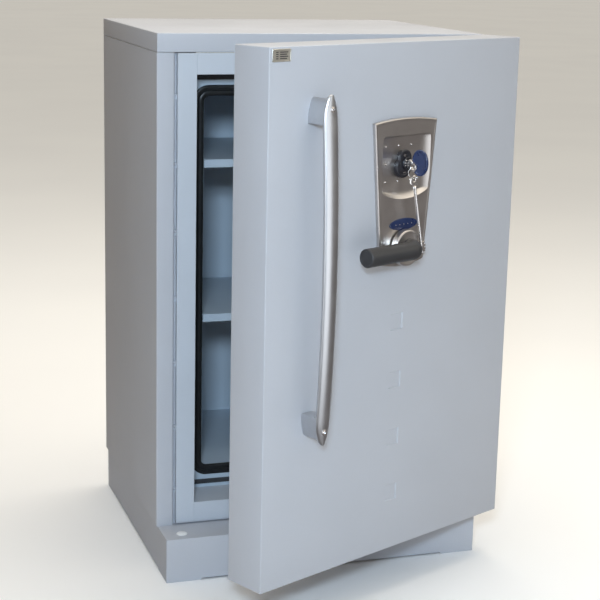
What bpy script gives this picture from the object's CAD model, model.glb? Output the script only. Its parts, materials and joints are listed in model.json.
import bpy
import bmesh
import json
import math
from mathutils import Matrix, Vector


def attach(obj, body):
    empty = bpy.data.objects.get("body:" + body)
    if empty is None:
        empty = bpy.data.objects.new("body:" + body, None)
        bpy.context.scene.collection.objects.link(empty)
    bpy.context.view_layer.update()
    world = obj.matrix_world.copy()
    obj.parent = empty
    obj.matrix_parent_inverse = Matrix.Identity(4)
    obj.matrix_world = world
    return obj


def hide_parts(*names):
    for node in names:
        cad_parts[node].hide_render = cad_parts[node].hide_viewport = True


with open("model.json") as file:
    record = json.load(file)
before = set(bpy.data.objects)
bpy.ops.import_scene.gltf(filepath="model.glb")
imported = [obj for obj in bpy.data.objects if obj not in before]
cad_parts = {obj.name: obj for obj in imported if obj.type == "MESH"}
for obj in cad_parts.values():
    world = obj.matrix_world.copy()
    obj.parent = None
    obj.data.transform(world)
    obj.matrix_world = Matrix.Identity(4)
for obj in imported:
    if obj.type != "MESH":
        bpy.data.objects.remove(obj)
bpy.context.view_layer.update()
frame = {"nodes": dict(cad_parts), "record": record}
record = frame["record"]
nodes = frame["nodes"]

# The door's own axes at rest, from the record's joints: u runs along its face to the
# right, out is away from its face, and z is up. Lengths in the tables are millimetres.
joints = {j["name"]: j for j in record["behaviour"]["joints"]}
OUT = Vector(joints["lever_turn"]["axis"]).normalized()
U = Vector((-OUT.y, OUT.x, 0))
LEVER_U, LEVER_Z = 376.0, 771.0
LEVER = Vector(joints["lever_turn"]["pos_m"])
UP = Vector((0, 0, 1))

# The cabinet stands square in the row frame; its front lies at this y, in metres.
FRONT_Y = -0.2415
WIDTH, DEPTH, HEIGHT = 740, 580, 1190


def door_at(u, out, z):
    """Point beside the open door, in the row frame."""
    p = LEVER + U * ((u - LEVER_U) / 1000) + OUT * (out / 1000)
    return Vector((p.x, p.y, z / 1000))


def body_at(x, y, z):
    """Point on the cabinet: x from its left side, y back from its front, z from the floor."""
    return Vector((x / 1000 - WIDTH / 2000, y / 1000 + FRONT_Y, z / 1000))


# ------------------------------------------------------------------ materials

def fill_ramp(elements, stops):
    """Sets a colour ramp's elements to the stops, each a place and a colour."""
    while len(elements) < len(stops):
        elements.new(0.5)
    for element, (at, colour) in zip(elements, stops):
        element.position = at
        element.color = (*colour, 1)


class Nodes:
    """A short way to lay out a node material."""

    INPUTS = {"colour": "Base Color", "rough": "Roughness", "normal": "Normal",
              "metal": "Metallic", "coat": "Coat Weight", "spec": "Specular IOR Level"}

    def __init__(self, name):
        self.mat = bpy.data.materials.new(name)
        self.mat.use_nodes = True
        self.tree = self.mat.node_tree
        self.bsdf = self.tree.nodes["Principled BSDF"]
        self.coords = self.tree.nodes.new("ShaderNodeTexCoord").outputs["Object"]

    def stretched(self, scale):
        mapping = self.tree.nodes.new("ShaderNodeMapping")
        mapping.inputs["Scale"].default_value = scale
        self.tree.links.new(self.coords, mapping.inputs["Vector"])
        return mapping.outputs["Vector"]

    def noise(self, scale, detail=3.0, rough=0.5, vector=None):
        n = self.tree.nodes.new("ShaderNodeTexNoise")
        n.inputs["Scale"].default_value = scale
        n.inputs["Detail"].default_value = detail
        n.inputs["Roughness"].default_value = rough
        self.tree.links.new(vector or self.coords, n.inputs["Vector"])
        return n.outputs["Fac"]

    def ramp(self, value, stops):
        r = self.tree.nodes.new("ShaderNodeValToRGB")
        fill_ramp(r.color_ramp.elements, stops)
        self.tree.links.new(value, r.inputs["Fac"])
        return r.outputs["Color"]

    def mix(self, fac, a, b):
        m = self.tree.nodes.new("ShaderNodeMix")
        m.data_type = "RGBA"
        self.tree.links.new(fac, m.inputs["Factor"])
        self.tree.links.new(a, m.inputs["A"])
        self.tree.links.new(b, m.inputs["B"])
        return m.outputs["Result"]

    def map(self, value, low, high, frm=(0.3, 0.7)):
        m = self.tree.nodes.new("ShaderNodeMapRange")
        m.inputs["From Min"].default_value = frm[0]
        m.inputs["From Max"].default_value = frm[1]
        m.inputs["To Min"].default_value = low
        m.inputs["To Max"].default_value = high
        self.tree.links.new(value, m.inputs["Value"])
        return m.outputs["Result"]

    def bump(self, height, distance, strength=1.0, under=None):
        b = self.tree.nodes.new("ShaderNodeBump")
        b.inputs["Strength"].default_value = strength
        b.inputs["Distance"].default_value = distance
        self.tree.links.new(height, b.inputs["Height"])
        if under:
            self.tree.links.new(under, b.inputs["Normal"])
        return b.outputs["Normal"]

    def set(self, **values):
        for key, value in values.items():
            socket = self.bsdf.inputs[self.INPUTS[key]]
            if isinstance(value, bpy.types.NodeSocket):
                self.tree.links.new(value, socket)
            elif isinstance(value, tuple):
                socket.default_value = (*value, 1)
            else:
                socket.default_value = value
        return self.mat


def shade(colour, k):
    return tuple(min(c * k, 1.0) for c in colour)


def powder_coat(name, colour, peel=0.00008, rough=(0.40, 0.52)):
    """Fine orange-peel powder coat, a little uneven in tone, with faint rub marks."""
    n = Nodes(name)
    clouds = n.noise(5.0, 4.0, 0.6)
    base = n.ramp(clouds, [(0.25, shade(colour, 0.965)), (0.75, shade(colour, 1.03))])
    speck = n.noise(1500.0, 2.0, 0.6)
    speckled = n.ramp(speck, [(0.35, shade(colour, 0.90)), (0.65, shade(colour, 1.06))])
    share = n.map(n.noise(40.0, 2.0), 0.25, 0.42)
    toned = n.mix(share, base, speckled)
    rubs = n.noise(26.0, 6.0, 0.75, n.stretched((1.0, 1.0, 0.25)))
    marks = n.ramp(rubs, [(0.0, (0, 0, 0)), (0.73, (0, 0, 0)), (0.80, (0.30, 0.30, 0.30))])
    worn = n.ramp(rubs, [(0.0, shade(colour, 1.12)), (1.0, shade(colour, 1.16))])
    final = n.mix(marks, toned, worn)
    fine = n.bump(n.noise(620.0, 2.0, 0.55), peel, 0.9)
    return n.set(colour=final, rough=n.map(clouds, *rough), spec=0.42,
                 normal=n.bump(n.noise(170.0, 2.0), peel * 1.3, 0.5, fine))


def brushed(name, colour, rough=(0.26, 0.38), along=(1.0, 1.0, 0.03), metal=1.0, depth=0.00002):
    """Satin metal with a fine grain along one direction and a few smudges."""
    n = Nodes(name)
    grain = n.noise(1400.0, 4.0, 0.6, n.stretched(along))
    smudge = n.noise(30.0, 5.0, 0.65)
    tone = n.ramp(grain, [(0.3, shade(colour, 0.93)), (0.7, shade(colour, 1.05))])
    dull = n.ramp(smudge, [(0.3, shade(colour, 0.90)), (0.7, shade(colour, 1.03))])
    share = n.map(n.noise(9.0, 2.0), 0.25, 0.5)
    return n.set(colour=n.mix(share, tone, dull), metal=metal,
                 rough=n.map(smudge, *rough), normal=n.bump(grain, depth, 0.6))


def plastic(name, colour, rough=(0.32, 0.46), grain=900.0, depth=0.00004, coat=0.0):
    """Moulded plastic with a fine skin texture and handling shine."""
    n = Nodes(name)
    cloud = n.noise(60.0, 4.0, 0.6)
    tone = n.ramp(cloud, [(0.3, shade(colour, 0.88)), (0.7, shade(colour, 1.14))])
    dust = n.noise(2600.0, 2.0, 0.7)
    dusty = n.ramp(dust, [(0.0, shade(colour, 1.0)), (0.74, shade(colour, 1.0)),
                          (0.80, tuple(min(c * 1.7 + 0.01, 1) for c in colour))])
    share = n.map(n.noise(22.0, 2.0), 0.3, 0.6)
    return n.set(colour=n.mix(share, tone, dusty), rough=n.map(cloud, *rough), coat=coat,
                 normal=n.bump(n.noise(grain, 3.0), depth, 0.8))


def rubber(name, colour, rough=(0.42, 0.62)):
    """Black moulded rubber with a dusty bloom."""
    n = Nodes(name)
    bloom = n.noise(45.0, 5.0, 0.7)
    tone = n.ramp(bloom, [(0.35, colour), (0.85, tuple(c * 1.6 + 0.002 for c in colour))])
    return n.set(colour=tone, rough=n.map(bloom, *rough), spec=0.4,
                 normal=n.bump(n.noise(700.0, 3.0, 0.6), 0.00006, 0.8))


def board(name, colour):
    """Pale fibrous insulating board."""
    n = Nodes(name)
    fibre = n.noise(260.0, 6.0, 0.7, n.stretched((1.0, 0.3, 1.0)))
    tone = n.ramp(fibre, [(0.25, shade(colour, 0.8)), (0.75, shade(colour, 1.1))])
    return n.set(colour=tone, rough=n.map(fibre, 0.8, 0.95), normal=n.bump(fibre, 0.0004, 0.8))


MATERIALS = {
    "powder_coat": powder_coat("powder_coat", (0.468, 0.484, 0.528)),
    "frame_paint": powder_coat("frame_paint", (0.50, 0.54, 0.60), 0.00006),
    "liner_paint": powder_coat("liner_paint", (0.46, 0.54, 0.62), 0.00005, (0.34, 0.46)),
    "insulation_board": board("insulation_board", (0.66, 0.63, 0.57)),
    "bare_steel": brushed("bare_steel", (0.50, 0.50, 0.51), (0.32, 0.5)),
    "seal_rubber": rubber("seal_rubber", (0.006, 0.007, 0.008), (0.30, 0.45)),
    "intumescent": rubber("intumescent", (0.030, 0.031, 0.034), (0.6, 0.75)),
    "white_plastic": plastic("white_plastic", (0.80, 0.81, 0.82)),
    "escutcheon_satin": brushed("escutcheon_satin", (0.60, 0.565, 0.54), (0.30, 0.38),
                                (0.04, 0.04, 1.0), 1.0, 0.00001),
    "dark_plastic": plastic("dark_plastic", (0.016, 0.016, 0.022), (0.30, 0.42)),
    "grip_plastic": plastic("grip_plastic", (0.032, 0.031, 0.033), (0.42, 0.55)),
    "blue_plastic": plastic("blue_plastic", (0.005, 0.020, 0.085), (0.25, 0.35),
                            900.0, 0.00002, 0.4),
    "plate_metal": brushed("plate_metal", (0.62, 0.60, 0.54), (0.3, 0.45), (0.05, 0.05, 1.0)),
    "satin_silver": brushed("satin_silver", (0.60, 0.605, 0.62), (0.32, 0.40)),
    "bright_metal": brushed("bright_metal", (0.84, 0.81, 0.79), (0.22, 0.32),
                            (1, 1, 1), 1.0, 0.00001),
}
SLOT_OF = {part["node"]: part["material_slot"] for part in record["subparts"]}
MERGE_DISTANCE = 1e-6


# ------------------------------------------------------------------ mesh tools

def finish_mesh(name, build, node_names, body, slot, angle=35.0):
    """Makes one closed piece, smooth within the given angle, standing for some CAD nodes."""
    mesh = bpy.data.meshes.new(name)
    mesh.from_pydata([tuple(v) for v in build.verts], [], build.faces)
    bm = bmesh.new()
    bm.from_mesh(mesh)
    bmesh.ops.remove_doubles(bm, verts=bm.verts, dist=MERGE_DISTANCE)
    bmesh.ops.recalc_face_normals(bm, faces=bm.faces)
    bm.to_mesh(mesh)
    bm.free()
    add_piece(name, mesh, node_names, body, slot, angle)


def add_piece(name, mesh, node_names, body, slot, angle):
    """Puts a finished mesh in the scene, on its body and in place of its CAD nodes."""
    mesh.shade_smooth()
    mesh.set_sharp_from_angle(angle=math.radians(angle))
    mesh.materials.append(MATERIALS[slot])
    obj = bpy.data.objects.new(name, mesh)
    bpy.context.scene.collection.objects.link(obj)
    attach(obj, body)
    if node_names:
        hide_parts(*node_names)


class Build:
    """Collects vertices and faces of one piece."""

    def __init__(self):
        self.verts = []
        self.faces = []

    def ring(self, points):
        start = len(self.verts)
        self.verts += points
        return list(range(start, start + len(points)))

    def bridge(self, a, b):
        """Quads from one ring to the next."""
        n = len(a)
        for i in range(n):
            j = (i + 1) % n
            self.faces.append((a[i], a[j], b[j], b[i]))

    def loft(self, rings, cap_last=True):
        """Joins the rings in turn and closes the first, and the last unless told not to."""
        ids = [self.ring(r) for r in rings]
        for a, b in zip(ids, ids[1:]):
            self.bridge(a, b)
        self.faces.append(tuple(reversed(ids[0])))
        if cap_last:
            self.faces.append(tuple(ids[-1]))
        return ids

    def tube(self, rings):
        """Joins the rings in turn and the last one to the first."""
        ids = [self.ring(r) for r in rings]
        for a, b in zip(ids, ids[1:] + ids[:1]):
            self.bridge(a, b)

    def socket(self, last, outline, top, bottom):
        """Steps in from the ring last to a straight blind hole with this outline."""
        rim = self.ring([door_at(x, top, z) for x, z in outline])
        floor = self.ring([door_at(x, bottom, z) for x, z in outline])
        self.bridge(last, rim)
        self.bridge(rim, floor)
        self.faces.append(tuple(floor))


def arc(n, start, end):
    return [math.radians(start + (end - start) * i / n) for i in range(n + 1)]


def rounded_rect(x0, x1, z0, z1, r, n=5):
    """Corner points of a rounded rectangle, counter-clockwise, n steps a corner."""
    pts = []
    for cx, cz, a0 in ((x1 - r, z1 - r, 0), (x0 + r, z1 - r, 90), (x0 + r, z0 + r, 180),
                       (x1 - r, z0 + r, 270)):
        pts += [(cx + r * math.cos(a), cz + r * math.sin(a)) for a in arc(n, a0, a0 + 90)]
    return pts


def full_turn(n):
    return [2 * math.pi * i / n for i in range(n)]


def circle(cx, cz, r, n=48):
    return [(cx + r * math.cos(a), cz + r * math.sin(a)) for a in full_turn(n)]


def turned(u, z, profile, n=48):
    """Rings of a shape turned about an axis square to the door; profile is (radius, out)."""
    return [[door_at(x, out, h) for x, h in circle(u, z, r, n)] for r, out in profile]


def shrunk(point, centre, inset):
    """The point moved towards centre by inset."""
    d = math.dist(point, centre)
    k = (d - inset) / d
    return centre[0] + (point[0] - centre[0]) * k, centre[1] + (point[1] - centre[1]) * k


def soft_box(bm, lo, hi, radius, segments=3, cuts=()):
    """A box with rounded edges added to bm; cuts are (axis, value) planes that split its faces."""
    size = [hi[i] - lo[i] for i in range(3)]
    mid = [(hi[i] + lo[i]) / 2 for i in range(3)]
    place = Matrix.Translation(mid) @ Matrix.Diagonal((*size, 1))
    made = bmesh.ops.create_cube(bm, size=1.0, matrix=place)
    edges = {e for v in made["verts"] for e in v.link_edges}
    bmesh.ops.bevel(bm, geom=list(edges), offset=radius, segments=segments, profile=0.5,
                    affect="EDGES", clamp_overlap=True)
    for axis, value in cuts:
        normal = Vector([1.0 if i == axis else 0.0 for i in range(3)])
        bmesh.ops.bisect_plane(bm, geom=bm.verts[:] + bm.edges[:] + bm.faces[:],
                               plane_co=normal * value, plane_no=normal)


def to_mesh(bm, name, place):
    """Turns bm, drawn in millimetres, into a mesh with each corner put where place says."""
    for v in bm.verts:
        v.co = place(v.co)
    bmesh.ops.recalc_face_normals(bm, faces=bm.faces)
    mesh = bpy.data.meshes.new(name)
    bm.to_mesh(mesh)
    bm.free()
    return mesh


def door_local(v):
    """Box space for door pieces: x is u, y is minus out, z is up, all in millimetres."""
    return door_at(v[0], -v[1], v[2])


def body_local(v):
    return body_at(*v)


# ------------------------------------------------------------------ door

EMBOSS_U = 376.0
EMBOSS_Z = (610.0, 483.5, 357.0, 232.0)
EMBOSS_HALF = 18.0
DOOR_LOW, DOOR_THICK = 104, 98
DOOR_BACK_LIP, DOOR_BACK_DROP = 2.2, 2.0


def make_door():
    """Folded outer pan: rounded edges and four shallow pressed squares."""
    bm = bmesh.new()
    cuts = [(0, EMBOSS_U - EMBOSS_HALF), (0, EMBOSS_U + EMBOSS_HALF)]
    for z in EMBOSS_Z:
        cuts += [(2, z - EMBOSS_HALF), (2, z + EMBOSS_HALF)]
    soft_box(bm, (0, 0, DOOR_LOW), (WIDTH, DOOR_THICK, HEIGHT), 2.0, 4, cuts)
    pressed = []
    for face in bm.faces:
        c = face.calc_center_median()
        if c.y < 0.01 and abs(c.x - EMBOSS_U) < 2 and any(abs(c.z - z) < 2 for z in EMBOSS_Z):
            pressed.append(face)
    for thickness, depth in ((0.2, -0.15), (2.4, -2.15)):
        bmesh.ops.inset_individual(bm, faces=pressed, thickness=thickness, depth=depth)
    back = [f for f in bm.faces
            if f.calc_center_median().y > DOOR_THICK - 0.1 and f.normal.y > 0.9]
    bmesh.ops.inset_region(bm, faces=back, thickness=DOOR_BACK_LIP, depth=0)
    bmesh.ops.translate(bm, verts=list({v for f in back for v in f.verts}),
                        vec=(0, -DOOR_BACK_DROP, 0))
    add_piece("door_shell", to_mesh(bm, "door_shell", door_local), ["door_skin"], "door",
              "powder_coat", 28)


NAME_PLATE = (30.4, 1174.2)
NAME_PLATE_HALF = (24, 12)
RIVET_SPREAD = 20
RIVET_DOME = ((1.5, 1.1), (1.4, 1.5), (0.9, 1.8), (0.3, 1.9))


def make_name_plate():
    """Metal plate with a raised rim, two small rivets and plain dark bars on its field."""
    b = Build()
    cx, cz = NAME_PLATE
    half_x, half_z = NAME_PLATE_HALF
    rings = []
    for inset, out in ((0, 0), (0, 1.1), (0.5, 1.6), (1.6, 1.6), (2.0, 1.15)):
        flat = rounded_rect(cx - half_x + inset, cx + half_x - inset,
                            cz - half_z + inset, cz + half_z - inset, max(2.2 - inset, 0.5))
        rings.append([door_at(x, out, z) for x, z in flat])
    b.loft(rings)
    for x in (cx - RIVET_SPREAD, cx + RIVET_SPREAD):
        b.loft(turned(x, cz, RIVET_DOME, 16))
    finish_mesh("corner_plate", b, ["name_plate"], "door", "plate_metal")
    s = Build()
    for row in range(4):
        z = cz + 6.0 - 4.0 * row
        for x0, x1 in ((cx - 15, cx - 9), (cx - 5, cx + 16 - 3 * (row % 2))):
            bar = rounded_rect(x0, x1, z - 0.8, z + 0.8, 0.6, 2)
            s.loft([[door_at(x, o, h) for x, h in bar] for o in (1.0, 1.45)])
    finish_mesh("corner_plate_bars", s, [], "door", "dark_plastic")


# ------------------------------------------------------------------ pull bar

PULL_U, PULL_LOW, PULL_HIGH = 118.0, 405.0, 1101.0
PULL_END, PULL_MID, PULL_THICK = 50.0, 64.0, 12.0
PULL_HALF = 18.0
PULL_TIP = 68.0
PULL_SCREW_INSET = 28
POST_INSET, POST_LENGTH = 8, 50
POST_HALF, POST_TIP = 15.0, 62.0


def pull_out(z):
    """Outer crest of the bowed bar at this height."""
    t = (z - (PULL_LOW + PULL_HIGH) / 2) / ((PULL_HIGH - PULL_LOW) / 2)
    return PULL_END + (PULL_MID - PULL_END) * (1 - t * t)


def leaf_half(z, low, high, half, tip, nose):
    """Half width of the leaf shape: full in the middle, closing in a round nose."""
    edge = min(z - low, high - z)
    if edge >= tip:
        return half
    t = max(edge, 0.0) / tip
    body = half * (1 - (1 - t) ** 2.3)
    rounding = math.sqrt(max(1 - (1 - min(edge / nose, 1.0)) ** 2, 0.0))
    return max(min(body + 5.2 * (1 - t), half), 0.02) * rounding + 0.05


def leaf_stations(low, high, tip):
    zs = [0.0, 0.35, 0.9, 1.8, 3.0, 4.6, 6.8, 9.5, 13, 18, 24, 31, 39, 48, 58, tip]
    middle = [low + tip + (high - low - 2 * tip) * i / 24 for i in range(1, 24)]
    return [low + d for d in zs] + middle + [high - d for d in reversed(zs)]


def make_pull_bar():
    b = Build()
    rings = []
    for z in leaf_stations(PULL_LOW, PULL_HIGH, PULL_TIP):
        half = leaf_half(z, PULL_LOW, PULL_HIGH, PULL_HALF, PULL_TIP, 6.0)
        crest = pull_out(z)
        slim = min(1.0, 0.35 + 0.65 * half / PULL_HALF)
        depth = PULL_THICK * slim
        section = [(half * math.cos(a), crest - depth * 0.66 * (1 - math.sin(a)))
                   for a in arc(20, 180, 0)]
        corner = min(2.2, half * 0.5)
        corner_out = crest - depth + corner
        for side, start in ((half - corner, 0), (-half + corner, -90)):
            section += [(side + corner * math.cos(a), corner_out + corner * math.sin(a))
                        for a in arc(4, start, start - 90)]
        rings.append([door_at(PULL_U + du, out, z) for du, out in section])
    b.loft(rings)
    finish_mesh("pull_handle", b, ["pull_bar"], "door", "satin_silver", 50)


def make_pull_posts():
    """Blocks that stand the bar off the door, leaf-shaped like its ends."""
    b = Build()
    low, high = PULL_LOW + POST_INSET, PULL_HIGH - POST_INSET
    stations = leaf_stations(low, high, POST_TIP)
    top, foot = low + POST_LENGTH, high - POST_LENGTH
    lower = [z for z in stations if z < top - 1] + [top - 1, top]
    upper = [foot, foot + 1] + [z for z in stations if z > foot + 1.5]
    for zs in (lower, upper):
        rings = []
        for z in zs:
            w = leaf_half(z, low, high, POST_HALF, POST_TIP, 7.0)
            if z in (top, foot):
                w -= 0.8
            inner = pull_out(z) - PULL_THICK + 0.4
            flat = [(-w, 0), (-w, inner), (w, inner), (w, 0)]
            dense = []
            for (x0, y0), (x1, y1) in zip(flat, flat[1:] + flat[:1]):
                dense += [(x0 + (x1 - x0) * k / 4, y0 + (y1 - y0) * k / 4) for k in range(4)]
            rings.append([door_at(PULL_U + x, y, z) for x, y in dense])
        b.loft(rings)
    finish_mesh("pull_stand_offs", b, ["pull_posts"], "door", "satin_silver", 40)


SCREW_PROFILE = ((6.2, -1.2), (6.2, 0.25), (5.6, 0.7), (5.0, 0.75), (4.7, 0.1), (4.6, 0.6),
                 (4.2, 1.4), (3.4, 1.9), (2.8, 2.05))
HEXAGON_RADIUS = 2.7
HEXAGON_TOP, HEXAGON_FLOOR = 2.05, -2.6


def make_pull_screws():
    """Button heads in shallow countersinks, each with a hexagon socket."""
    b = Build()
    sector = math.pi / 3
    for z0 in (PULL_LOW + PULL_SCREW_INSET, PULL_HIGH - PULL_SCREW_INSET):
        crest = pull_out(z0)
        ids = b.loft(turned(PULL_U, z0, [(r, crest + o) for r, o in SCREW_PROFILE], 36),
                     cap_last=False)
        hexagon = []
        for a in full_turn(36):
            k = HEXAGON_RADIUS * math.cos(sector / 2) / math.cos((a % sector) - sector / 2)
            hexagon.append((PULL_U + k * math.cos(a), z0 + k * math.sin(a)))
        b.socket(ids[-1], hexagon, crest + HEXAGON_TOP, crest + HEXAGON_FLOOR)
    finish_mesh("pull_screw_heads", b, ["pull_screws"], "door", "bright_metal", 30)


# ------------------------------------------------------------------ escutcheon

LOCK_U, KEY_Z = 376.0, 945.0
PLATE = {"top": 1034.0, "bottom": 733.0, "half_top": 93.0, "half_bottom": 66.0, "thick": 8.0}
PLATE_CORNER = 2.5              # reach of the round at each corner
PLATE_ARCH, PLATE_FOOT = 7.0, -8.0
PLATE_ROLL = 2.6                # radius of the rolled edge
PLATE_FACE = PLATE["thick"] - 0.25
RECESS_FLOOR = 3.0
PIP_DOME = ((2.3, -0.3), (2.2, 0.5), (1.8, 1.2), (1.1, 1.7), (0.3, 1.9))
PIP_FREE_RADIUS = 34


def ray_hit(centre, angle, points):
    """Where a ray from centre leaves the outline."""
    dx, dz = math.cos(angle), math.sin(angle)
    best = None
    for (x0, z0), (x1, z1) in zip(points, points[1:] + points[:1]):
        ex, ez = x1 - x0, z1 - z0
        det = ex * dz - ez * dx
        if abs(det) < 1e-12:
            continue
        s = ((x0 - centre[0]) * dz - (z0 - centre[1]) * dx) / -det
        t = (ex * (z0 - centre[1]) - ez * (x0 - centre[0])) / det
        if -1e-9 <= s <= 1 + 1e-9 and t > 0:
            best = t if best is None else max(best, t)
    return (centre[0] + dx * best, centre[1] + dz * best)


def plate_outline(inset):
    """Tapered outline with an arched top, a rounded foot and small round corners."""
    top, bottom = PLATE["top"] - inset, PLATE["bottom"] + inset
    wide, narrow = PLATE["half_top"] - inset, PLATE["half_bottom"] - inset
    pts = []
    corners = [(LOCK_U + wide, top - 3), (LOCK_U - wide, top - 3),
               (LOCK_U - narrow, bottom + 6), (LOCK_U + narrow, bottom + 6)]
    for i, c in enumerate(corners):
        before, after = corners[i - 1], corners[(i + 1) % 4]
        pts += [toward(c, before, PLATE_CORNER * t * t) for t in (1.0, 0.6, 0.3, 0.0)]
        pts += [toward(c, after, PLATE_CORNER * t * t) for t in (0.3, 0.6, 1.0)]
        if i == 0:
            pts += bow(c, after, PLATE_ARCH)
        if i == 2:
            pts += bow(c, after, PLATE_FOOT)
    return pts


def toward(a, b, d):
    """The point at distance d from a on the way to b."""
    length = math.dist(a, b)
    return (a[0] + (b[0] - a[0]) * d / length, a[1] + (b[1] - a[1]) * d / length)


def bow(a, b, rise):
    """Points of a shallow arc between two corners, clear of their rounds."""
    pts = []
    for i in range(1, 16):
        t = i / 16
        x = a[0] + (b[0] - a[0]) * t
        if min(abs(x - a[0]), abs(x - b[0])) < PLATE_CORNER + 0.5:
            continue
        pts.append((x, a[1] + rise * (1 - (2 * t - 1) ** 2)))
    return pts


def recess_outline(depth):
    """Outline of the recess at a depth from 0 (plate's face) to 1 (its floor)."""
    left = 308 + 6 * depth
    right = 452 - 22 * depth
    top = 1003 - 5 * depth
    bottom = 888 + 1 * depth
    sag = 16.5 * (1 - depth)
    r = 9.0 - 2 * depth
    pts = []
    for cx, cz, a0 in ((right - r, top - r, 0), (left + r, top - r, 90)):
        pts += [(cx + r * math.cos(a), cz + r * math.sin(a)) for a in arc(6, a0, a0 + 90)]
    pts += [(left + 3 * math.sin(a) ** 2 * 0.5, bottom + 5 - 4 * math.sin(a))
            for a in arc(3, 0, 60)]
    for i in range(1, 24):
        t = i / 24
        pts.append((left + 1.5 + (right - left - 3) * t,
                    bottom - sag * (1 - abs(2 * t - 1) ** 2.2)))
    pts += [(right - 1.0, bottom + 2.0), (right, bottom + 6)]
    return pts


def make_escutcheon():
    """Raised cover plate: rolled edge, satin face and a recess that coves up on the right."""
    b = Build()
    centre = (378.0, 945.0)
    corners = [math.atan2(z - centre[1], x - centre[0]) for x, z in plate_outline(0)]
    even = [-math.pi + 2 * math.pi * i / 144 for i in range(144)]
    angles = sorted(set(round(a, 4) for a in even + corners))

    def ring(points, out):
        return [door_at(x, out, z) for x, z in (ray_hit(centre, a, points) for a in angles)]

    wall = PLATE["thick"] - PLATE_ROLL
    rings = [ring(plate_outline(0), 0.0), ring(plate_outline(0), wall)]
    rings += [ring(plate_outline(PLATE_ROLL * (1 - math.cos(a))), wall + PLATE_ROLL * math.sin(a))
              for a in arc(5, 15, 90)]
    rings.append(ring(plate_outline(5.5), PLATE["thick"]))
    rings += [ring(plate_outline(inset), PLATE_FACE) for inset in (6.2, 7.2)]
    for t in (-0.03, 0.0, 0.03, 0.10, 0.2, 0.32, 0.46, 0.62, 0.8, 1.0):
        drop = 0.0 if t < 0 else (PLATE_FACE - RECESS_FLOOR) * (1 - (1 - t) ** 1.6)
        rings.append(ring(recess_outline(t), PLATE_FACE - drop))
    b.loft(rings)
    for column in range(4):
        for row in range(3):
            x, z = 322 + 37.5 * column, 981.5 - 36 * row
            if math.hypot(x - 369, z - KEY_Z) > PIP_FREE_RADIUS and x < 430:
                b.loft(turned(x, z, [(r, RECESS_FLOOR + o) for r, o in PIP_DOME], 16))
    finish_mesh("lock_cover_plate", b, ["escutcheon"], "door", "escutcheon_satin", 40)


LOBES = ((369.0, 938.0, 22.5), (372.5, 955.0, 19.0))
LOBES_MIDDLE = (371.0, 945.0)
COLLAR_TOP = 12.0
COLLAR_ROUND = 3.0


def lobes_outline(grow, n=96):
    """Outline of the two round lobes together, grown or shrunk."""
    pts = []
    for a in full_turn(n):
        best = 0.0
        for u, z, r in LOBES:
            rr = r + grow
            du, dz = u - LOBES_MIDDLE[0], z - LOBES_MIDDLE[1]
            along_ray = du * math.cos(a) + dz * math.sin(a)
            inside = rr * rr - du * du - dz * dz + along_ray * along_ray
            if inside > 0:
                best = max(best, along_ray + math.sqrt(inside))
        pts.append((LOBES_MIDDLE[0] + best * math.cos(a), LOBES_MIDDLE[1] + best * math.sin(a)))
    return pts


def make_rosette():
    """Dark moulded collar of two lobes, with a sunk round field in each."""
    b = Build()
    top = COLLAR_TOP
    wall = top - COLLAR_ROUND
    rings = [(0, RECESS_FLOOR), (0, wall)]
    rings += [(-COLLAR_ROUND * (1 - math.cos(a)), wall + COLLAR_ROUND * math.sin(a))
              for a in arc(5, 15, 90)]
    rings += [(-6.0, top + 0.1), (-6.8, top - 0.7), (-9.0, top - 0.8)]
    b.loft([[door_at(x, o, z) for x, z in lobes_outline(g)] for g, o in rings])
    finish_mesh("lock_collar", b, ["lock_rosette"], "door", "dark_plastic", 45)
    s = Build()
    for z, turns in ((962.0, (0.6, 2.2)), (927.0, (0.1,))):
        for turn in turns:
            bar = [(-3.2, -0.7), (3.2, -0.7), (3.2, 0.7), (-3.2, 0.7)]
            spun = [(370 + x * math.cos(turn) - y * math.sin(turn),
                     z + x * math.sin(turn) + y * math.cos(turn)) for x, y in bar]
            s.loft([[door_at(x, o, zz) for x, zz in spun] for o in (top - 1.2, top - 0.1)])
    finish_mesh("collar_screws", s, [], "door", "bright_metal", 40)


BARREL_PROFILE = ((13.0, -83.0), (13.0, 13.6), (12.3, 14.4), (10.6, 14.5), (10.2, 13.7),
                  (8.2, 13.7), (7.8, 14.2))
KEYWAY_RADIUS = 3.4
LIP_HEIGHT = 0.9


def make_barrel():
    """Dark key barrel with a stepped face and a bright-lipped keyway."""
    b = Build()
    ids = b.loft(turned(LOCK_U, KEY_Z, BARREL_PROFILE), cap_last=False)
    b.socket(ids[-1], circle(LOCK_U, KEY_Z, KEYWAY_RADIUS), 14.2, -20)
    finish_mesh("key_plug", b, ["key_barrel"], "key_barrel", "dark_plastic", 35)
    s = Build()
    for dz, x0, x1 in ((6.2, -7.5, -3.0), (1.2, -10.5, -4.5), (-4.2, -8.5, -3.5)):
        lip = [(x0, dz), (x1, dz), (x1, dz + LIP_HEIGHT), (x0, dz + LIP_HEIGHT)]
        s.loft([[door_at(LOCK_U + x, o, KEY_Z + h) for x, h in lip] for o in (13.0, 14.5)])
    finish_mesh("key_plug_lips", s, [], "key_barrel", "bright_metal", 35)


BADGE_Z = 819
BADGE_HALF = (42, 12.5)
BADGE_PROFILE = ((1.0, 8.0), (1.0, 9.0), (0.985, 9.3), (0.955, 9.3), (0.94, 9.0), (0.9, 9.15),
                 (0.7, 9.5), (0.4, 9.75), (0.1, 9.8))
DOT_PROFILE = ((1.2, 9.2), (1.1, 9.95), (0.6, 10.2))


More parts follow.
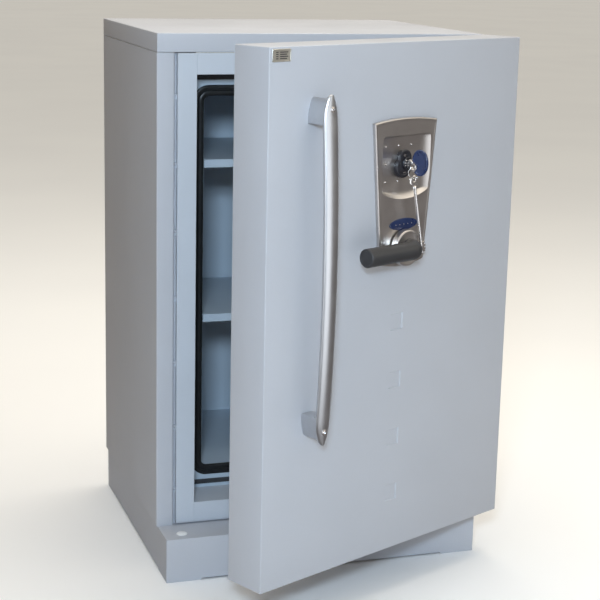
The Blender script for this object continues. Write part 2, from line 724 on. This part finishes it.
def make_badge():
    """Domed oval inlay in a thin bezel, with a row of tiny raised dots."""
    b = Build()
    half_u, half_z = BADGE_HALF
    b.loft([[door_at(LOCK_U + half_u * k * math.cos(a), o,
                     BADGE_Z + half_z * k ** 0.98 * math.sin(a)) for a in full_turn(64)]
            for k, o in BADGE_PROFILE])
    finish_mesh("oval_inlay", b, ["oval_badge"], "door", "blue_plastic", 45)
    s = Build()
    for du in (-24, -12, 0, 12, 24):
        s.loft(turned(LOCK_U + du, BADGE_Z, DOT_PROFILE, 12))
    finish_mesh("inlay_dots", s, [], "door", "escutcheon_satin", 40)


# ------------------------------------------------------------------ lever

HUB_RADIUS = 38.0
HUB_WALL = 22.4                 # where the boss's straight wall ends, out from the door
HUB_ROUND = 3.4


def make_hub():
    """Turned boss: flared foot, straight wall, rounded shoulder and a shallow dished face."""
    b = Build()
    prof = [(34.0, 10.1), (37.4, 10.3), (HUB_RADIUS, 10.9), (HUB_RADIUS, HUB_WALL)]
    prof += [(HUB_RADIUS - HUB_ROUND * (1 - math.cos(a)), HUB_WALL + HUB_ROUND * math.sin(a))
             for a in arc(6, 12, 90)]
    prof += [(33.0, 25.8), (32.0, 25.4), (24.0, 25.2), (10.0, 25.2)]
    b.loft(turned(LEVER_U, LEVER_Z, prof, 96))
    finish_mesh("lever_boss", b, ["lever_hub"], "lever", "escutcheon_satin", 30)


GRIP_RADIUS = 19.5
GRIP_OUT = 48.0
GRIP_LENGTH = 150.0
GRIP_BEND = 20.0
END_CAP = ((1.1, 11.0), (1.1, 14.6), (0.2, 15.2), (0, 16.3))
END_ROUND = 3.2


def grip_ring(u, out, along_u, along_out, radius):
    """Circle about (u, out) square to a direction in the plane of u and out."""
    length = math.hypot(along_u, along_out)
    along_u, along_out = along_u / length, along_out / length
    pts = []
    for a in full_turn(48):
        side = radius * math.cos(a)
        pts.append(door_at(u - along_out * side, out + along_u * side,
                           LEVER_Z + radius * math.sin(a)))
    return pts


def make_grip():
    """Moulded round grip on a mitred elbow, with an inlaid end cap."""
    b = Build()
    left = LEVER_U - GRIP_LENGTH
    sections = list(END_CAP)
    sections += [(END_ROUND * (1 - math.cos(a)), 16.3 + END_ROUND * math.sin(a))
                 for a in arc(5, 15, 90)]
    sections += [(du, GRIP_RADIUS - 0.5 * math.sin(math.pi * du / 130))
                 for du in (30, 60, 90, 112, 126)]
    rings = [grip_ring(left + du, GRIP_OUT, 1, 0, radius) for du, radius in sections]
    bend_u, bend_out = LEVER_U - GRIP_BEND, GRIP_OUT - GRIP_BEND
    for a in arc(12, 90, 0):
        rings.append(grip_ring(bend_u + GRIP_BEND * math.cos(a), bend_out + GRIP_BEND * math.sin(a),
                               math.sin(a), -math.cos(a), GRIP_RADIUS + 0.6 * math.sin(2 * a)))
    rings.append(grip_ring(LEVER_U, 25.1, 0, -1, GRIP_RADIUS + 0.6))
    b.loft(rings)
    finish_mesh("lever_handle", b, ["lever_grip"], "lever", "grip_plastic", 45)


# ------------------------------------------------------------------ keys

# The key in the lock lies in the plane of out and z; its outlines are (out, z) points.
NECK = [(15.5, 951.0), (20.0, 954.0), (40.0, 943.5), (40.5, 936.0), (35.0, 931.0),
        (24.0, 931.5), (15.5, 938.0)]
NECK_HALF, NECK_BEVEL = 3.2, 0.6
RING_HOLE = (31.5, 940.0)
RING_HOLE_R = 5.8
RING_R = 11.0
RING_DROP = 1.4
RING_Z = RING_HOLE[1] - RING_DROP - RING_R
SHANK_RADIUS = 3.0
BITS = [(-58, 3), (-58, 9.2), (-61.5, 9.2), (-61.5, 7.0), (-64.5, 7.0), (-64.5, 10), (-68, 10),
        (-68, 6.4), (-71.5, 6.4), (-71.5, 9.0), (-75, 9.0), (-75, 7.8), (-80, 7.8), (-80, 3)]


def key_plane(side, points):
    """Puts (out, z) points beside the key's middle plane."""
    return [door_at(LOCK_U + side, out, z) for out, z in points]


def add_neck(b):
    """Flat neck with softened rims and a round hole, lofted from the hole round to itself."""
    hits = [ray_hit(RING_HOLE, a, NECK) for a in full_turn(72)]

    def rim(inset, side):
        return key_plane(side, [shrunk(p, RING_HOLE, inset) for p in hits])

    def bore(side, r):
        return key_plane(side, circle(*RING_HOLE, r, 72))

    half, bevel = NECK_HALF, NECK_BEVEL
    b.tube([bore(half - 0.4, RING_HOLE_R), bore(-half + 0.4, RING_HOLE_R),
            bore(-half, RING_HOLE_R + 0.4),
            rim(bevel, -half), rim(bevel * 0.3, -half + bevel * 0.3), rim(0, -half + bevel),
            rim(0, half - bevel), rim(bevel * 0.3, half - bevel * 0.3), rim(bevel, half),
            bore(half, RING_HOLE_R + 0.4)])


def make_key_metal():
    """Neck, round shank, an eyelet lip on each side of the hole, and the bits."""
    b = Build()
    add_neck(b)
    b.loft(turned(LOCK_U, KEY_Z, [(SHANK_RADIUS, o) for o in (16.0, -60.0, -80.0)], 24))
    rim = RING_HOLE_R + 1.5
    lip = [(RING_HOLE_R, 2.2), (RING_HOLE_R, 3.6), (RING_HOLE_R + 0.5, 4.0), (rim - 0.4, 4.0),
           (rim, 3.5), (rim, 2.2)]
    for side in (-1, 1):
        b.tube([key_plane(side * w, circle(*RING_HOLE, r, 36)) for r, w in lip])
    for side in (-1, 1):
        face = [(o, KEY_Z + side * h) for o, h in BITS]
        b.loft([key_plane(x, face) for x in (-1.4, 1.4)])
    finish_mesh("key_metal", b, ["key_blade"], "key", "bright_metal", 35)


BOW_OUT, BOW_Z = 48, 950
BOW_HALF = (20.5, 27)
BOW_CENTRE = (53.0, 951.0)
BOW_RIMS = [(7.0, 2.3), (4.2, 2.4), (3.4, 3.0), (1.0, 3.0), (0.3, 2.6), (0.0, 1.8)]
BOW_NOTCH = [(28.2, 951.5), (34, 948.2), (40.6, 944.6), (41.4, 940), (41.2, 935), (38.5, 931.5)]


def bow_outline():
    """Oval of the plastic bow, cut away along the neck of the key."""
    oval = [(BOW_OUT + BOW_HALF[0] * math.cos(a), BOW_Z + BOW_HALF[1] * math.sin(a))
            for a in full_turn(120)]
    kept = [p for p in oval
            if not (p[0] < 41.5 and 929.5 < p[1] < 954.5 - 0.525 * (p[0] - 20) + 3)]
    start = max(range(len(kept)), key=lambda i: math.dist(kept[i - 1], kept[i]))
    kept = kept[start:] + kept[:start]
    if math.dist(kept[-1], BOW_NOTCH[0]) > math.dist(kept[-1], BOW_NOTCH[-1]):
        return kept + BOW_NOTCH[::-1]
    return kept + BOW_NOTCH


def make_key_bow():
    """Moulded bow with a rounded rim and a sunk grip field."""
    b = Build()
    outline = bow_outline()
    hits = [ray_hit(BOW_CENTRE, a, outline) for a in full_turn(120)]
    layers = [(inset, -side) for inset, side in BOW_RIMS]
    layers += [(inset, side) for inset, side in reversed(BOW_RIMS)]
    b.loft([key_plane(side, [shrunk(p, BOW_CENTRE, inset) for p in hits])
            for inset, side in layers])
    finish_mesh("key_bow", b, ["key_cap"], "key", "blue_plastic", 40)


RING_WIRE = (0.55, 0.42)        # half thickness of a turn of wire, outward and sideways


def make_split_ring():
    """Two close turns of wire, at half a right angle to both bows."""
    b = Build()
    centre = door_at(LOCK_U, RING_HOLE[0], RING_Z)
    across = (U + OUT).normalized()
    side = across.cross(UP)
    for turn in (-RING_WIRE[1], RING_WIRE[1]):
        loops = []
        for a in full_turn(72):
            radial = across * math.cos(a) + UP * math.sin(a)
            middle = centre + radial * (RING_R / 1000) + side * (turn / 1000)
            loops.append([middle + radial * (RING_WIRE[0] * math.cos(w) / 1000)
                          + side * (RING_WIRE[1] * math.sin(w) / 1000) for w in full_turn(12)])
        b.tube(loops)
    finish_mesh("split_ring", b, ["key_ring"], "key_ring", "bright_metal", 60)


# The hanging key in its own space: x across its bow, z up from its pivot on the ring.
SPARE_RIM = 2.8
SPARE_TOP = SPARE_RIM + 3.2
SPARE_BOW = 12
SPARE_HOLE = 4.8
SPARE_FOOT = SPARE_TOP - 168.0
SPARE_BITS = [(22, 2.5), (22, 11), (18.5, 11), (18.5, 8), (15.5, 8), (15.5, 12), (12, 12),
              (12, 7.4), (8.5, 7.4), (8.5, 11), (5, 11), (5, 9), (0.4, 9), (0.4, 2.5)]
SPARE_SIDE, SPARE_LEAN = 19.5, 12.6


def make_hanging_key():
    """Hanging key that leans to the right: flat bow, collar, round shank and two bits."""
    b = Build()
    pivot_z = RING_Z - RING_R
    down = pivot_z - LEVER_Z
    lean = math.asin(SPARE_LEAN / math.hypot(SPARE_SIDE, down)) + math.atan2(SPARE_SIDE, down)

    def at(x, o, z):
        return door_at(LOCK_U + x * math.cos(lean) - z * math.sin(lean), RING_HOLE[0] + o,
                       pivot_z + x * math.sin(lean) + z * math.cos(lean))

    def disc(z, r, o):
        return [at(x, o, h) for x, h in circle(0, z, r, 72)]

    hole_z, bow_z = SPARE_RIM - SPARE_HOLE, SPARE_TOP - SPARE_BOW
    rims = ((3.2, -1.2), (1.4, -0.8), (0.4, -0.3), (0, 0), (0.4, 0.3), (1.4, 0.8), (3.2, 1.2))
    rings = [disc(hole_z, SPARE_HOLE + grow, o)
             for grow, o in ((0, 0.8), (0, -0.8), (0.6, -1.2), (1.6, -1.25))]
    rings += [disc(bow_z, SPARE_BOW - inset, o) for inset, o in rims]
    rings += [disc(hole_z, SPARE_HOLE + grow, o) for grow, o in ((1.6, 1.25), (0.6, 1.2))]
    b.tube(rings)
    top, foot = SPARE_TOP, SPARE_FOOT
    shank = [(2.4, top - 22.6), (3.8, top - 23.6), (4.0, top - 24.5), (4.0, top - 27.5),
             (3.0, top - 28.6), (3.0, foot + 24), (3.0, foot + 0.8), (2.2, foot)]
    b.loft([[at(r * math.cos(a), r * math.sin(a), z) for a in full_turn(24)] for r, z in shank])
    for side in (-1, 1):
        face = [(side * h, foot + z) for z, h in SPARE_BITS]
        b.loft([[at(x, o, z) for x, z in face] for o in (-1.2, 1.2)])
    finish_mesh("hanging_key", b, ["spare_key"], "spare_key", "bright_metal", 35)


# ------------------------------------------------------------------ cabinet

COVER_LOW = 1150
COVER_WALL, COVER_HOLLOW = 2.0, 36.0


def make_cover():
    """Shallow lid with rounded edges, hollow below."""
    bm = bmesh.new()
    soft_box(bm, (0, 0, COVER_LOW), (WIDTH, DEPTH, HEIGHT), 2.2, 4)
    below = [f for f in bm.faces if f.normal.z < -0.9]
    bmesh.ops.inset_region(bm, faces=below, thickness=COVER_WALL, depth=0)
    bmesh.ops.translate(bm, verts=list({v for f in below for v in f.verts}),
                        vec=(0, 0, COVER_HOLLOW))
    add_piece("cabinet_lid", to_mesh(bm, "cabinet_lid", body_local), ["top_cover"], "cabinet",
              "powder_coat", 28)


CASING_CORNER = 3.0
CASING_FOLD = 4.2               # radius of the fold beside the groove
WELD_U = 38.6                   # left edge of the weld tacks in the groove
WELD_WIDE = 6.2
WELD_STEPS = ((8.0, 1.0), (8.0, 7.0), (10.0, 8.0), (14.2, 8.0), (14.2, 0.0), (10.0, 0.0))


def mirrored(path):
    """The path on the left, then its mirror image on the right, run back."""
    return path + [(WIDTH - x, y) for x, y in reversed(path)]


def make_casing():
    """Wrapped sheet in plan: flanges, rounded corners, folded grooves beside the frame."""
    b = Build()
    r, fold = CASING_CORNER, CASING_FOLD
    left = [(46.6, 14.0), (38.8, 14.0)]
    left += [(34.6 + fold * math.cos(a), 6.2 - fold * math.sin(a)) for a in arc(5, 0, 90)]
    left += [(r - r * math.sin(a), r + 2 - r * math.cos(a)) for a in arc(6, 0, 90)]
    left += [(r - r * math.cos(a), DEPTH - r + r * math.sin(a)) for a in arc(6, 0, 90)]
    inner = [(46.6, 16.0), (36.8, 16.0), (36.8, 6.4), (34.4, 4.0), (2.0, 4.0), (2.0, DEPTH - 2.0)]
    loop = mirrored(left) + list(reversed(mirrored(inner)))
    b.loft([[body_at(x, y, z) for x, y in loop]
            for z in (100.0, 100.6, 400.0, 700.0, 1148.6, 1149.2)])
    for x in (WELD_U, WIDTH - WELD_U - WELD_WIDE):
        for k in range(7):
            z = 179.0 + 146.0 * k
            b.loft([[body_at(px, y, z + h) for y, h in WELD_STEPS] for px in (x, x + WELD_WIDE)])
    finish_mesh("cabinet_shell", b, ["casing"], "cabinet", "powder_coat", 28)


MOUTH_SIDE = 127                # the liner's mouth, from each side of the cabinet
MOUTH_LOW, MOUTH_HIGH = 203.5, 1050
SEAL_EDGE = 25.2
SEAL_CORNER = 36
SEAL_BACK = 95.0                # the seal's foot, back from the cabinet's front


def make_gasket():
    """Extruded rubber seal: flat foot, hollow and a raised round bead along its inner edge."""
    b = Build()
    x0, x1 = MOUTH_SIDE - SEAL_EDGE, WIDTH - MOUTH_SIDE + SEAL_EDGE
    z0, z1 = MOUTH_LOW - SEAL_EDGE + 2, MOUTH_HIGH + SEAL_EDGE - 2
    profile = [(0.0, 0.0), (0.2, 2.6), (0.9, 3.4), (8.0, 3.5), (9.2, 3.0), (10.4, 3.2)]
    profile += [(17.2 - 6.6 * math.cos(a), 3.3 + 3.2 * math.sin(a)) for a in arc(9, 12, 168)]
    profile += [(23.9, 2.6), (24.0, 0.0)]
    rings = []
    for inset, rise in profile:
        flat = rounded_rect(x0 + inset, x1 - inset, z0 + inset, z1 - inset,
                            SEAL_CORNER - inset, 12)
        rings.append([body_at(x, SEAL_BACK - rise, z) for x, z in flat])
    b.tube(rings)
    finish_mesh("mouth_seal", b, ["liner_gasket"], "cabinet", "seal_rubber", 50)


CAP_SIDE, CAP_FRONT = 45.0, -54.0
CAP_PROFILE = ((9.6, 93.0), (9.6, 100.0), (12.0, 100.0), (12.0, 100.9), (11.4, 101.5),
               (8.6, 102.1), (5.0, 102.35), (1.0, 102.4))


def make_caps():
    """Domed plastic plugs with a fine rim, in the plinth's ledge."""
    b = Build()
    for x in (CAP_SIDE, WIDTH - CAP_SIDE):
        b.loft([[body_at(px, py, z) for px, py in circle(x, CAP_FRONT, r, 40)]
                for r, z in CAP_PROFILE])
    finish_mesh("ledge_caps", b, ["anchor_caps"], "cabinet", "white_plastic", 35)


def soften(node, width, segments=2, angle=35.0):
    """Rounds a CAD node's edges without touching its own vertices."""
    obj = nodes[node]
    weld = obj.modifiers.new("weld", "WELD")
    weld.merge_threshold = 1e-5
    flat = obj.modifiers.new("flat", "DECIMATE")
    flat.decimate_type = "DISSOLVE"
    flat.angle_limit = math.radians(0.5)
    bevel = obj.modifiers.new("bevel", "BEVEL")
    bevel.width = width / 1000
    bevel.segments = segments
    bevel.limit_method = "ANGLE"
    bevel.angle_limit = math.radians(angle)
    bevel.harden_normals = True


for name, obj in nodes.items():
    obj.data.materials.clear()
    obj.data.materials.append(MATERIALS[SLOT_OF[name]])

SOFT_EDGES = {"frame_stiles": 0.6, "frame_rails": 0.6, "inner_liner": 0.4, "shelf_upper": 0.5,
              "shelf_lower": 0.5, "plinth_front": 0.6, "plinth_back": 0.6, "plinth_sides": 0.6,
              "foot_plates": 0.5, "inner_panel": 0.6, "plug_frame": 0.6, "door_back_plate": 0.4,
              "cabinet_hinge_leaves": 0.7, "door_hinge_leaves": 0.7, "hinge_pins": 0.4,
              "shelf_clips": 0.2, "shelf_rails": 0.2, "intumescent_strips": 0.4, "base_pan": 0.4}
for name, width in SOFT_EDGES.items():
    soften(name, width)

make_door()
make_name_plate()
make_pull_bar()
make_pull_posts()
make_pull_screws()
make_escutcheon()
make_rosette()
make_barrel()
make_badge()
make_hub()
make_grip()
make_key_metal()
make_key_bow()
make_split_ring()
make_hanging_key()
make_cover()
make_casing()
make_gasket()
make_caps()


# ------------------------------------------------------------------ stage

def add_stage_mesh(name, bm, material):
    mesh = bpy.data.meshes.new(name)
    bm.to_mesh(mesh)
    bm.free()
    mesh.materials.append(material)
    obj = bpy.data.objects.new(name, mesh)
    obj.visible_glossy = False
    bpy.context.scene.collection.objects.link(obj)
    return obj


def make_floor():
    """Wide pale floor, left out of reflections."""
    n = Nodes("studio_floor")
    tone = n.ramp(n.noise(0.8, 2.0), [(0.3, (0.90, 0.90, 0.905)), (0.7, (0.93, 0.93, 0.93))])
    bm = bmesh.new()
    bmesh.ops.create_grid(bm, x_segments=8, y_segments=8, size=60.0)
    add_stage_mesh("studio_floor", bm, n.set(colour=tone, rough=0.8, spec=0.2))


def make_flag():
    """Dark studio flag beside the left side, out of view, that keeps light off it."""
    n = Nodes("studio_flag")
    tone = n.ramp(n.noise(3.0), [(0.3, (0.26, 0.20, 0.13)), (0.7, (0.30, 0.235, 0.16))])
    bm = bmesh.new()
    corners = ((-0.9, 0.0), (1.6, 0.0), (1.6, 1.9), (-0.9, 1.9))
    bm.faces.new([bm.verts.new((-1.15, y, z)) for y, z in corners])
    add_stage_mesh("studio_flag", bm, n.set(colour=tone, rough=0.9)).visible_camera = False


def make_light(name, place, target, size, power, colour):
    data = bpy.data.lights.new(name, "AREA")
    data.shape = "RECTANGLE"
    data.size, data.size_y = size
    data.energy = power
    data.color = colour
    obj = bpy.data.objects.new(name, data)
    obj.location = place
    obj.rotation_euler = (Vector(target) - Vector(place)).to_track_quat("-Z", "Y").to_euler()
    bpy.context.scene.collection.objects.link(obj)
    return obj


CAMERA_LENS = 92.48
CAMERA_PLACE = (-1.0979, -3.4130, 1.3811)
CAMERA_TURN = (-18.3777, -13.0867, 1.3075)      # yaw, pitch and roll, in degrees


def make_camera():
    """The camera of the photograph, as solved from the safe's edges."""
    data = bpy.data.cameras.new("camera")
    data.sensor_width = 36.0
    data.lens = CAMERA_LENS
    data.clip_end = 200.0
    cam = bpy.data.objects.new("camera", data)
    yaw, pitch, roll = (math.radians(a) for a in CAMERA_TURN)
    ahead = Vector((-math.sin(yaw) * math.cos(pitch), math.cos(yaw) * math.cos(pitch),
                    math.sin(pitch)))
    level = Vector((math.cos(yaw), math.sin(yaw), 0))
    above = level.cross(ahead)
    right = level * math.cos(roll) + above * math.sin(roll)
    up = above * math.cos(roll) - level * math.sin(roll)
    m = Matrix((right, up, -ahead)).transposed().to_4x4()
    m.translation = Vector(CAMERA_PLACE)
    cam.matrix_world = m
    bpy.context.scene.collection.objects.link(cam)
    bpy.context.scene.camera = cam


LIGHTS = (("flash", (-1.35, -3.7, 2.0), (-0.1, -0.2, 0.75), (0.5, 0.4), 88, (0.66, 0.83, 1.0)),
          ("top", (0.4, 0.5, 4.0), (0, 0, 0.6), (3.0, 3.0), 100, (1.0, 0.93, 0.82)))
CARDS_AIM = (0, -0.4, 0.9)
CARDS = (("left_card", (-3.2, -2.9, 0.9), (2.6, 2.6), 40, (0.90, 0.95, 1.0)),
         ("front_card", (1.1, -3.3, 0.5), (3.2, 2.4), 38, (0.90, 0.95, 1.0)),
         ("right_card", (3.0, -1.7, 2.3), (2.4, 1.4), 16, (1.0, 0.94, 0.82)))
SKY = ((0.0, (0.17, 0.155, 0.15)), (0.49, (0.17, 0.155, 0.15)), (0.52, (0.08, 0.08, 0.08)),
       (0.9, (0.78, 0.74, 0.66)))


def make_world():
    """World that gets brighter with height."""
    world = bpy.data.worlds.new("studio")
    world.use_nodes = True
    tree = world.node_tree
    new, link = tree.nodes.new, tree.links.new
    sky = tree.nodes["Background"]
    sky.inputs["Strength"].default_value = 1.0
    height = new("ShaderNodeSeparateXYZ")
    link(new("ShaderNodeTexCoord").outputs["Generated"], height.inputs["Vector"])
    glow = new("ShaderNodeValToRGB")
    fill_ramp(glow.color_ramp.elements, SKY)
    level = new("ShaderNodeMapRange")
    level.inputs["From Min"].default_value = -1.0
    link(height.outputs["Z"], level.inputs["Value"])
    link(level.outputs["Result"], glow.inputs["Fac"])
    link(glow.outputs["Color"], sky.inputs["Color"])
    return world


make_floor()
make_flag()
make_camera()
for name, place, aim, size, power, colour in LIGHTS:
    make_light(name, place, aim, size, power, colour)
for name, place, size, power, colour in CARDS:
    card = make_light(name, place, CARDS_AIM, size, power, colour)
    card.visible_diffuse = False    # a card is seen in reflections and lights nothing else
scene = bpy.context.scene
scene.world = make_world()
scene.view_settings.view_transform = "Standard"
